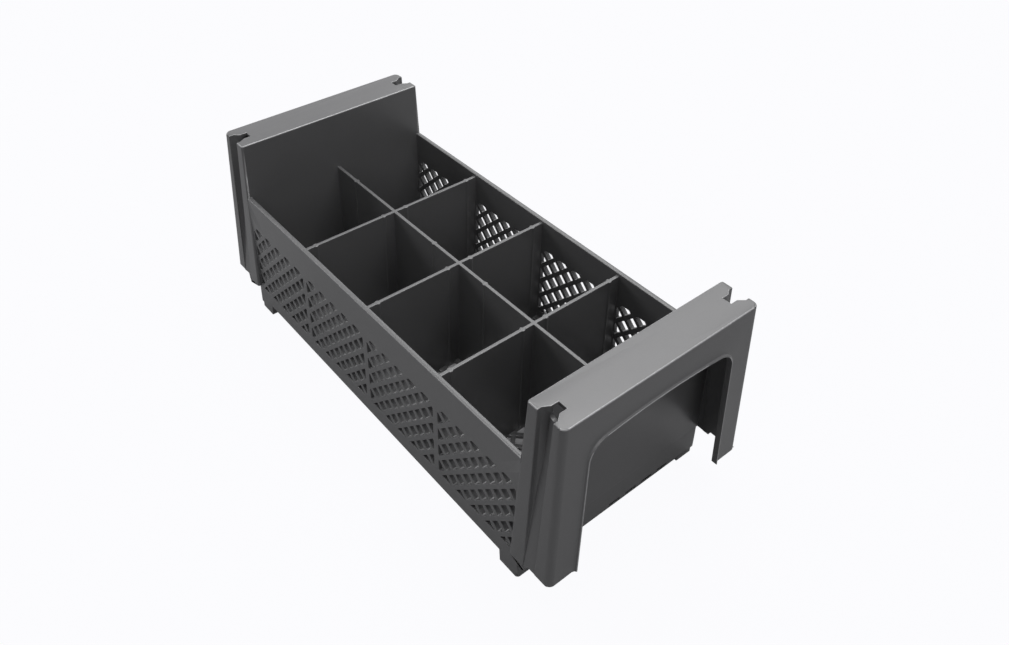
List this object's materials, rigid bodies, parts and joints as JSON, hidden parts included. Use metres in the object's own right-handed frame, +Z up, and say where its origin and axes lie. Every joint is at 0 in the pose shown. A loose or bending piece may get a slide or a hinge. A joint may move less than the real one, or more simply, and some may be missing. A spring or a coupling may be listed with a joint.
{
  "type": "dishwasher cutlery basket",
  "caption": "One-piece open-topped cutlery basket with diamond-lattice walls and floor, crossed dividers and a tall hollow handle frame with an arched grip at each end.",
  "frame": {"origin": "centre of the basket's plan, on the plane its four feet stand on", "axes": "+X along the basket's length towards one handle frame, +Y across it, +Z up"},
  "size_m": [0.4296, 0.187, 0.1693],
  "materials": {
    "basket_plastic": "satin dark grey polypropylene, finely grained"
  },
  "bodies": {
    "root": {"cutlery_basket": "basket_plastic"}
  },
  "joints": []
}
